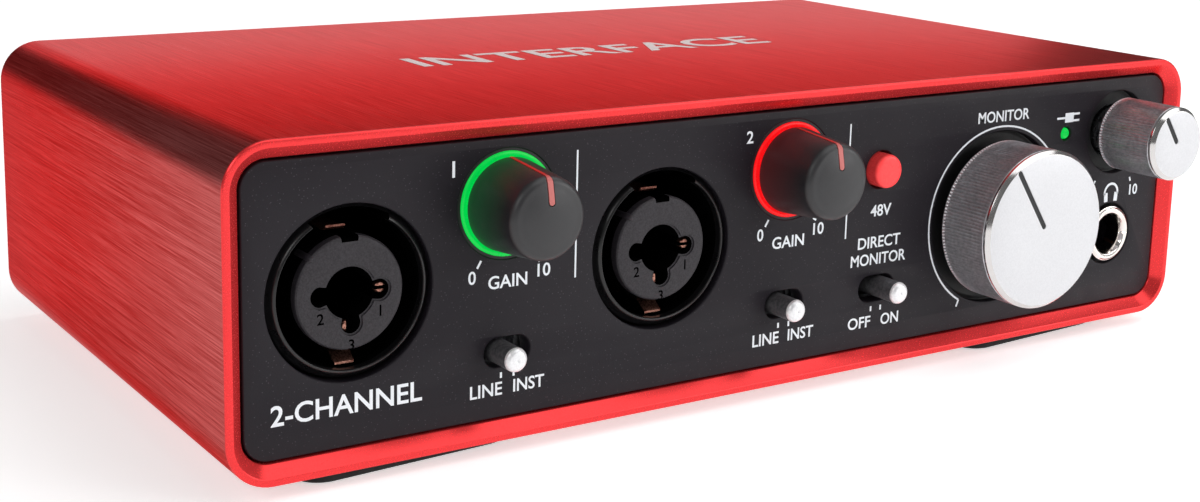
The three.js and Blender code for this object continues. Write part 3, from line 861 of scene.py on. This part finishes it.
def build_combo_insert(name):
    """The round insert, with a small stud beside its notch."""
    centre = combo_middle(name)
    front = INSERT_FRONT
    bm = turned(soften([(0, front), (INSERT_RADIUS, front, 0.55), (INSERT_RADIUS, 3.2)], 0.3), centre, 128)
    # Behind its front edge, the insert's side takes the painted shade.
    side = [(INSERT_RADIUS, 3.2), (INSERT_RADIUS, INSERT_BACK), (0, INSERT_BACK)]
    add_turned(bm, side, centre, 128, finish=1)
    weld(bm)
    stud = [(0, front - 0.25), (0.35, front - 0.1, 0.2), (0.55, front + 0.5, 0.1), (0.55, 6), (0, 6)]
    add_turned(bm, soften(stud, 0.1), centre + Vector((-5.35, 0, 5.0)), 24)
    cutters = insert_cutters(centre)
    node = f"{name}_insert"
    piece(f"{name}_face", bm, ["insert", "painted_shade"], stands_for=node, cutters=cutters)


def split_pin(centre, front, gap):
    """A round copper pin with its shank in near-black painted shade, split by a gap whose middle lies x to
    the right.
    """
    pin = turned(soften([(0, front), (0.8, front, 0.4), (0.8, front + 0.9)], 0.1), centre, 24)
    add_turned(pin, [(0.8, front + 0.9), (0.8, front + 9), (0, front + 9)], centre, 24, finish=1)
    weld(pin)
    x, width, height = gap
    cutter = pushed(rectangle(centre.x + x, centre.z, width, height), front - 1, front + 6, finish=1)
    holder = make_object("pin", pin, ["copper", "painted_shade"])
    cut_away(holder, cutter)
    whole = bmesh.new()
    whole.from_mesh(holder.data)
    whole.transform(case_to_frame.inverted())
    bpy.data.objects.remove(holder)
    return whole


def build_combo_pins(name):
    """Split copper pins inside the pin holes, each a little off its hole's middle."""
    across = (0.0, 2.4, 0.48)
    upright = (0.525, 1.35, 2.4)
    pins = {
        "1": (2.6, (0.5, 0.0), across),
        "2": (9.0, (0.0, 0.0), across),
        "3": (2.9, (-0.1, -0.65), upright),
    }
    bm = bmesh.new()
    for number, (front, (dx, dz), gap) in pins.items():
        hole = Vector((PINS[number][0] + dx, 0, PINS[number][1] + dz))
        add_mesh(bm, split_pin(combo_middle(name) + hole, front, gap))
    piece(f"{name}_pins", bm, ["copper", "painted_shade"])


def build_combo_leaves(name):
    """The two sprung leaves between the insert and the bore, each with its own (y, z) path."""
    leaves = {
        "lower": (-0.35, "copper", [(3.0, -9.7), (4.9, -8.25), (8.0, -8.05), (20.0, -8.9)]),
        # The upper leaf is painted darker, as shade under the latch.
        "upper": (-1.2, "painted_shade_copper", [(3.6, 8.5), (4.4, 7.95), (8.0, 8.1), (20.0, 9.0)]),
    }
    for level, (dx, finish, path) in leaves.items():
        under = [Vector((z, y)) for y, z in soften(path, 0.5)]
        over = [Vector((z + 0.28, y)) for z, y in under]
        widths = [1.35] + [1.45] * (len(under) - 1)
        leaf = band(combo_middle(name) + Vector((dx, 0, 0)), over, under, widths)
        node = f"{name}_{level}_contact"
        piece(f"{name}_{level}_leaf", leaf, [finish], stands_for=node)


# ---- Rotary controls ----


def soft_knob_outline(inset):
    """The soft knob from the middle of its face to its foot, moved inwards by inset."""
    flat = GAIN_TOP - GAIN_SHOULDER
    points = []
    for step in range(KNOB_STEPS + 1):
        share = step / KNOB_STEPS
        points.append(Vector((share * flat, GAIN_FRONT + inset - GAIN_DOME * (1 - share**2))))
    reach = GAIN_SHOULDER - inset
    for step in range(1, KNOB_STEPS + 1):
        turn = step / KNOB_STEPS * math.pi / 2
        radius = flat + reach * math.sin(turn)
        points.append(Vector((radius, GAIN_FRONT + GAIN_SHOULDER - reach * math.cos(turn))))
    points.append(Vector((GAIN_SKIRT - inset, GAIN_BACK)))
    return points


def pointer_path(inset, start, end):
    """The knob's outline from near the middle of its face to its foot, closely spaced at the start."""
    outline = soft_knob_outline(inset)
    centre_y = outline[0].y
    rim = outline[KNOB_STEPS]
    near = [start + 0.1 * step for step in range(POINTER_END_STEPS)]
    crown = [Vector((radius, centre_y + (rim.y - centre_y) * (radius / rim.x) ** 2)) for radius in near]
    return crown + outline[KNOB_STEPS // 2:-1] + [Vector((outline[-1].x, end))]


def pointer_widths(half_width):
    """Half widths along a pointer path: a round end, an even strip, then a narrower one at the side."""
    last = POINTER_END_STEPS - 1
    end = [max(0.12, math.sqrt(1 - (1 - step / last) ** 2)) for step in range(POINTER_END_STEPS)]
    return [share * half_width for share in end + [1] * 9 + [0.8, 0.7, 0.62, 0.62, 0.62]]


def build_gain_knob(name):
    """A soft knob with a pink pointer set in a groove that runs over its shoulder and down its side."""
    centre = middle(f"{name}_light_ring")
    bore = [(SHAFT_BORE, GAIN_BACK), (SHAFT_BORE, -5), (0, -5)]
    bm = turned(soft_knob_outline(0) + bore, centre, 128)
    inside, outside = (pointer_path(inset, 1.85, GAIN_BACK + 0.4) for inset in (0.3, -0.6))
    groove = band(centre, outside, inside, pointer_widths(0.52))
    node = f"{name}_knob"
    piece(f"{name}_soft_knob", bm, [name], body=name, stands_for=node, cutters=[groove])
    inside, outside = (pointer_path(inset, 2.0, GAIN_BACK - 0.1) for inset in (0.4, -0.05))
    strip = band(centre, outside, inside, pointer_widths(0.4))
    node = f"{name}_pointer"
    piece(f"{name}_inlay", strip, ["pointer"], body=name, stands_for=node)


def build_gain_ring(name):
    """A rounded light pipe round the knob's foot."""
    profile = [
        (4.7, 4.9), (4.7, 2.6), (6.1, 1.9), (6.45, 1.5, 0.3), (6.9, 1.32, 0.3), (7.25, 1.5, 0.25),
        (GAIN_RING, 1.9, 0.2), (GAIN_RING, 4.9),
    ]
    node = f"{name}_light_ring"
    bm = turned(soften(profile, 0.15, closed=True), middle(node), 128, closed=True)
    colour = "green" if name == "gain_1" else "red"
    piece(f"{name}_light_pipe", bm, [colour], stands_for=node)


def metal_knob_mesh(centre, radius, front, back, ribs):
    """The turned body of a metal knob: its face (0), ribbed side and hollows (1), and chamfer (2)."""
    face = radius - 0.55
    bore = SHAFT_BORE + 1.2
    wall = 1.6 if radius > 8 else 1.0
    ceiling = front + 3
    waist = radius - 0.12
    ribs_front, ribs_back = front + 1.35, back - 0.9
    top = [(0, front), (face * 0.5, front), (face - 0.06, front)]
    chamfer = [(face - 0.06, front), (face, front + 0.03), (radius, front + 0.6), (radius, front + 0.95)]
    groove = [(radius, front + 0.95), (waist, front + 1.02), (waist, front + 1.1), (radius, front + 1.18)]
    rows = 8
    side = [(radius, front + 1.18, 0)]
    for row in range(rows + 1):
        side.append((radius, ribs_front + (ribs_back - ribs_front) * row / rows, RIB_DEPTH))
    side += [(radius, back - 0.6, 0), (radius - 0.15, back - 0.3, 0), (radius - 0.5, back, 0)]
    under = [
        (radius - 0.5, back), (radius - wall, back), (radius - wall, ceiling), (bore, ceiling),
        (bore, back), (SHAFT_BORE, back), (SHAFT_BORE, ceiling), (0, ceiling),
    ]
    bm = bmesh.new()
    for profile, finish in ((top, 0), (soften(chamfer, 0.06), 2), (groove, 1), (side, 1), (under, 1)):
        add_turned(bm, profile, centre, ribs * 4, finish)
    weld(bm)
    return bm


def build_metal_knob(name, ribs, back):
    """A ribbed metal knob with a dark line set into its face."""
    node = f"{name}_knob"
    centre = middle(node)
    low, high = span(node)
    radius = (high.x - low.x) / 2
    front = low.y
    start, end = 0.03 * radius, radius - 0.55
    outline = rounded_rectangle(0, (start + end) / 2, 0.92, end - start, 0.45, steps=4)
    turn = Matrix.Rotation(math.radians(-POINTER_ANGLE), 4, "Y")
    place = Matrix.Translation((centre.x, 0, centre.z)) @ turn
    groove = pushed(outline, front - 0.5, front + 0.3)
    groove.transform(place)
    metals = ["satin", "knurl", "polished"]
    bm = metal_knob_mesh(centre, radius, front, back, ribs)
    piece(f"{name}_metal_knob", bm, metals, body=name, stands_for=node, cutters=[groove])
    inlay = pushed(outline, front + 0.12, front + 0.35)
    inlay.transform(place)
    piece(f"{name}_engraving", inlay, ["engraved"], body=name)


# ---- Button, slide switches, light and headphone socket ----


def build_phantom_button():
    """A lit button with a low dome, on a narrower stem."""
    front, end = -0.5, 5.1
    profile = [
        (0, front - 0.05), (2.0, front, 0.3), (2.45, front + 0.15, 0.2), (2.65, front + 0.6, 0.2),
        (2.65, end), (1.2, end), (1.2, end + 2.4), (0, end + 2.4),
    ]
    bm = turned(soften(profile, 0.1), middle("phantom_button"), 72)
    piece("lit_button", bm, ["button"], body="phantom", stands_for="phantom_button")


def build_levers():
    """Slender metal levers with dished tips, the side painted dark as the reflection of the dark panel and
    the tip painted near white as a highlight.
    """
    front, root = -3.1, 7.2
    neck = (1.72, front + 0.8)
    dish = [(0, front + 0.2), (0.22, front + 0.03), (0.6, front)]
    tip = dish + [(1.2, front + 0.06), (1.62, front + 0.4, 0.3), neck]
    metals = ["lever", "tip"]
    for name in SWITCH_X:
        node = f"{name}_lever"
        bm = turned(soften(tip, 0.15), middle(node), 48, finish=1)
        add_turned(bm, [neck, (1.72, root), (0, root)], middle(node), 48)
        weld(bm)
        piece(f"{name}_metal_lever", bm, metals, body=f"{name}_slider", stands_for=node)


def build_headphone_bush():
    """A chrome bush with a notched rim, and a spring contact inside it."""
    centre = middle("headphone_bush")
    profile = [
        (3.25, 2.0, 0.2), (3.65, 1.1, 0.12), (4.35, 0.98, 0.12), (4.6, 1.25, 0.1), (4.75, 1.3, 0.05),
        (4.75, 4.5), (3.25, 4.5),
    ]
    bm = turned(soften(profile, 0.1, closed=True), centre, 96, closed=True)
    notch = bmesh.new()
    for side in (-1, 1):
        add_pushed(notch, rectangle(centre.x + side * 4.1, centre.z, 1.4, 0.7), 0.5, 1.35)
    piece("chrome_bush", bm, ["chrome"], stands_for="headphone_bush", cutters=[notch])
    outer = [Vector(point) for point in soften([(3.0, 6.0), (2.2, 9.0), (2.5, 12.0), (3.0, 14.0)], 1.0)]
    inner = [Vector((radius - 0.3, y)) for radius, y in outer]
    spring = band(centre, outer, inner, [0.7] * len(outer))
    piece("headphone_spring", spring, ["copper"])


def build_status_light():
    end = span("status_light")[1].y
    profile = [(0, 1.5), (0.7, 1.6, 0.3), (0.95, 1.95, 0.15), (0.95, end), (0, end)]
    bm = turned(soften(profile, 0.1), middle("status_light"), 32)
    piece("status_lens", bm, ["green"], stands_for="status_light")


# ---- Rear connectors ----


def build_line_outs():
    """A hexagonal nut round a black barrel, for each line output."""
    outside = REAR_BACK + 0.05
    profile = [
        (3.3, 70, 0), (3.3, 96.8, 0.2), (3.9, 97.2, 0.2), (5.4, 97.2, 0.2), (5.8, 96.8, 0.1),
        (5.8, 93.0, 0), (7.5, 93.0, 0), (7.5, 68, 0.3), (3.3, 68, 0),
    ]
    for side in SIDES:
        node = f"line_out_{side}_nut"
        centre = middle(node)
        hexagon = soften(circle(centre.x, centre.z, 8.0, 6), 0.5, closed=True)
        nut = pushed(hexagon, outside, outside + 1.8, 0.3)
        way = turned([(0, 94), (6.05, 94), (6.05, 99), (0, 99)], centre, 64)
        piece(f"line_out_{side}_hex_nut", nut, ["tin"], stands_for=node, cutters=[way])
        barrel = turned(soften(profile, 0.1, closed=True), centre, 72, closed=True)
        socket = f"line_out_{side}_socket"
        piece(f"line_out_{side}_barrel", barrel, ["socket"], stands_for=socket)


def build_usb():
    """A square metal shell with a cornered mouth, and the tongue inside it."""
    centre = middle("usb_shell")
    low, high = span("usb_shell")
    shell = pushed(rounded_rectangle(centre.x, centre.z, 12, 11, 0.7, steps=5), low.y, high.y, 0.2)
    reach_x, reach_z, slope = 4.25, 3.9, 1.7
    mouth = [
        (-reach_x, -reach_z), (reach_x, -reach_z), (reach_x, reach_z - slope), (reach_x - slope, reach_z),
        (slope - reach_x, reach_z), (-reach_x, reach_z - slope),
    ]
    way = pushed([(centre.x + x, centre.z + z) for x, z in mouth], low.y + 2, high.y + 1)
    piece("usb_metal_shell", shell, ["tin"], stands_for="usb_shell", cutters=[way])
    low, high = span("usb_tongue")
    tongue = pushed(rounded_rectangle(centre.x, centre.z, 5.6, 3.2, 0.3, steps=3), low.y, high.y, 0.25)
    for side in (-1, 1):
        for level in (-1, 1):
            contact = rectangle(centre.x + side * 1.25, centre.z + level * 1.6, 1.0, 0.16)
            add_pushed(tongue, contact, low.y + 1, high.y - 0.6, finish=1)
    piece("usb_plastic_tongue", tongue, ["socket", "copper"], stands_for="usb_tongue")


# ---- Lettering ----


def add_headphone_mark(bm, x, z):
    """A plain headband with two ear pads."""
    add_stroke(bm, arc(x, z, 1.6, range(-10, 191, 10)), 0.42)
    for side in (-1, 1):
        pad = [(x + side * 1.3, z + 0.05), (x + side * 1.15, z - 1.5)]
        add_stroke(bm, pad, 0.85)


def add_link_mark(bm, x, z):
    """A plain plug: a lead, a body and two blades."""
    add_stroke(bm, [(x - 2.8, z), (x - 0.9, z)], 0.36)
    add_stroke(bm, [(x - 0.9, z), (x + 1.1, z)], 1.6)
    for side in (-1, 1):
        add_stroke(bm, [(x + 1.1, z + side * 0.55), (x + 2.5, z + side * 0.55)], 0.36)


def add_words(bm):
    """Every printed word and number: its text, its middle's x and z, and its width."""
    words = [
        ("2", -5.8, 38.4, 1.2), ("0", -52.0, 23.2, 1.15), ("10", -40.75, 23.0, 2.05),
        ("0", -3.2, 23.4, 1.15), ("10", 8.0, 23.2, 2.05), ("GAIN", -46.45, 22.15, 6.1),
        ("GAIN", 2.2, 21.85, 6.1), ("48V", 20.5, 24.7, 4.2), ("DIRECT", 20.5, 19.7, 8.7),
        ("MONITOR", 20.5, 17.0, 11.3), ("OFF", 17.2, 6.95, 4.6), ("ON", 23.5, 6.95, 3.7),
        ("MONITOR", 46.1, 37.5, 11.5), ("10", 78.7, 22.1, 2.0), ("0", 67.9, 22.1, 1.15),
    ]
    for name in ("input_1", "input_2"):
        words.append(("LINE", SWITCH_X[name] - 3.3, 7.1, 5.0))
        words.append(("INST", SWITCH_X[name] + 3.45, 7.15, 4.95))
    for text, x, z, width in words:
        add_mesh(bm, lettering(text, facing_front(x, z), LETTER_HEIGHT, width))
    add_mesh(bm, lettering("2-CHANNEL", facing_front(-70.2, 8.8), 2.8, 21.5))


def add_lines(bm):
    """The number 1, the upright dividers and the ticks beside the scales and slots."""
    add_stroke(bm, [(-54.9, 37.2), (-54.9, 39.4)], 0.4)
    add_stroke(bm, [(-35.65, 21.2), (-35.65, 39.2)], 0.26)
    add_stroke(bm, [(13.5, 20.9), (13.5, 38.8)], 0.26)
    ticks = [
        ((-50.64, 25.43), (-51.24, 24.41)), ((-41.75, 24.7), (-41.45, 24.2)),
        ((-1.73, 25.59), (-2.34, 24.59)), ((6.85, 24.94), (7.46, 24.56)),
        ((68.9, 24.5), (68.5, 23.9)), ((77.5, 24.35), (77.75, 23.65)),
    ]
    for x in SWITCH_X.values():
        ticks += [((x + side, 9.35), (x + side, 8.55)) for side in (-1, 1)]
    for tick in ticks:
        add_stroke(bm, tick, 0.32)


def add_monitor_scale(bm):
    """The arc round the monitor knob, with a hook at its lower left end."""
    monitor = middle("monitor_knob")
    scale = arc(monitor.x, monitor.z, 15.0, range(-55, 241, 5))
    end_x, end_z = scale[-1]
    add_stroke(bm, scale, 0.3)
    add_stroke(bm, [(end_x, end_z), (end_x - 0.45, end_z - 1.1)], 0.34)


def build_front_lettering():
    bm = bmesh.new()
    add_words(bm)
    add_lines(bm)
    add_monitor_scale(bm)
    add_link_mark(bm, 61.3, 36.0)
    add_headphone_mark(bm, 73.1, 22.0)
    piece("front_lettering", bm, ["print"])


def build_other_lettering():
    top = lettering("INTERFACE", facing_up(-2.0, 49.0), 9.0, 69.0)
    piece("top_lettering", top, ["etch"])
    back = bmesh.new()
    for text, side in (("L", "left"), ("R", "right")):
        nut = middle(f"line_out_{side}_nut")
        add_mesh(back, lettering(text, facing_back(nut.x, nut.z + 12), 2.2))
    piece("rear_lettering", back, ["print"])


# ---- CAD nodes that keep their shape ----


def paint_cad_nodes():
    """Give every CAD node that is still shown its own finish."""
    finish_of = {
        "chassis_tray": "tin", "main_board": "board", "control_board": "board",
        "usb_controller_chip": "chip", "converter_chip": "chip", "phantom_switch": "chip",
        "supply_capacitor_1": "tin", "supply_capacitor_2": "tin", "headphone_socket": "socket",
    }
    for name in ("gain_1", "gain_2", "monitor", "headphone"):
        finish_of[f"{name}_shaft"] = "steel"
        finish_of[f"{name}_pot"] = "tin"
    for name in SWITCH_X:
        finish_of[f"{name}_switch"] = "steel"
    for node, finish in finish_of.items():
        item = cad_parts[node]
        item.data.materials.clear()
        item.data.materials.append(FINISHES[finish])


# ---- Studio ----


def build_world():
    """A white backdrop for the camera that lights the object only faintly."""
    world = bpy.data.worlds.new("studio")
    world.use_nodes = True
    nodes, links = world.node_tree.nodes, world.node_tree.links
    seen = nodes["Background"]
    seen.inputs["Color"].default_value = (1.0, 1.0, 1.0, 1.0)
    fill = nodes.new("ShaderNodeBackground")
    fill.inputs["Strength"].default_value = 0.2
    mix = nodes.new("ShaderNodeMixShader")
    links.new(nodes.new("ShaderNodeLightPath").outputs["Is Camera Ray"], mix.inputs["Fac"])
    links.new(fill.outputs["Background"], mix.inputs[1])
    links.new(seen.outputs["Background"], mix.inputs[2])
    links.new(mix.outputs["Shader"], nodes["World Output"].inputs["Surface"])
    bpy.context.scene.world = world


def build_floor():
    """A white paper floor with a faint glow of its own."""
    width = 3.4
    mesh = bpy.data.meshes.new("floor")
    mesh.from_pydata([(x, y, 0) for x, y in rectangle(0, 0, width, width)], [], [(0, 1, 2, 3)])
    floor = add_object("floor", mesh)
    paper = Finish("pale_paper", (0.92, 0.92, 0.92, 1.0), 0.8, Specular_IOR_Level=0.1)
    set_inputs(paper.shader, Emission_Color=(1.0, 1.0, 1.0, 1.0), Emission_Strength=0.54)
    mesh.materials.append(paper.material)


def softbox(name, location, target, size, power):
    """A rectangular lamp at a location in metres, facing a target."""
    lamp = bpy.data.lights.new(name, "AREA")
    lamp.shape = "RECTANGLE"
    lamp.size, lamp.size_y = size
    lamp.energy = power
    item = add_object(name, lamp)
    item.location = location
    item.rotation_mode = "QUATERNION"
    item.rotation_quaternion = (Vector(target) - Vector(location)).to_track_quat("-Z", "Y")


def build_lights():
    softbox("top_softbox", (0.5, -0.3, 1.2), (0, 0, 0), (1.6, 1.2), 9.6)
    softbox("back_wall", (0.76, 1.52, 0.41), (0, 0, 0.1), (1.52, 0.82), 4.4)
    softbox("front_softbox", (0.95, -0.95, 0.42), (0, 0, 0.02), (1.0, 0.5), 6.5)
    softbox("left_softbox", (-1.0, -0.6, 0.8), (0, 0, 0.02), (0.6, 0.5), 3.0)


def build_camera():
    """A camera a quarter of a metre from a point on the panel, to its left and a little above it."""
    azimuth, elevation, roll = (math.radians(angle) for angle in (-33.2, 11.14, 1.27))
    target = case_to_frame @ Vector((-34.8, 0, 39.6))
    distance = 0.2431
    lens = bpy.data.cameras.new("camera")
    lens.sensor_width = 36
    lens.lens = 53.59
    lens.shift_x = 0.0092
    lens.shift_y = -0.0855
    lens.clip_start = 0.01
    lens.clip_end = 50
    camera = add_object("camera", lens)
    aim = Matrix.Rotation(azimuth, 4, "Z") @ Matrix.Rotation(math.pi / 2 - elevation, 4, "X")
    tilted = aim @ Matrix.Rotation(roll, 4, "Z")
    camera.matrix_world = Matrix.Translation(target) @ tilted @ Matrix.Translation((0, 0, distance))
    bpy.context.scene.camera = camera


def build():
    bpy.context.scene.view_settings.view_transform = "Standard"
    build_camera()
    build_world()
    build_floor()
    build_lights()
    paint_cad_nodes()
    build_sleeve()
    build_feet()
    build_front_panel()
    build_rear_panel()
    build_rear_screws()
    for name in COMBOS:
        build_combo_housing(name)
        build_combo_insert(name)
        build_combo_pins(name)
        build_combo_leaves(name)
    for name in GAINS:
        build_gain_knob(name)
        build_gain_ring(name)
    build_metal_knob("monitor", ribs=150, back=1.3)
    build_metal_knob("headphone", ribs=76, back=0.6)
    build_phantom_button()
    build_levers()
    build_headphone_bush()
    build_status_light()
    build_line_outs()
    build_usb()
    build_front_lettering()
    build_other_lettering()


build()
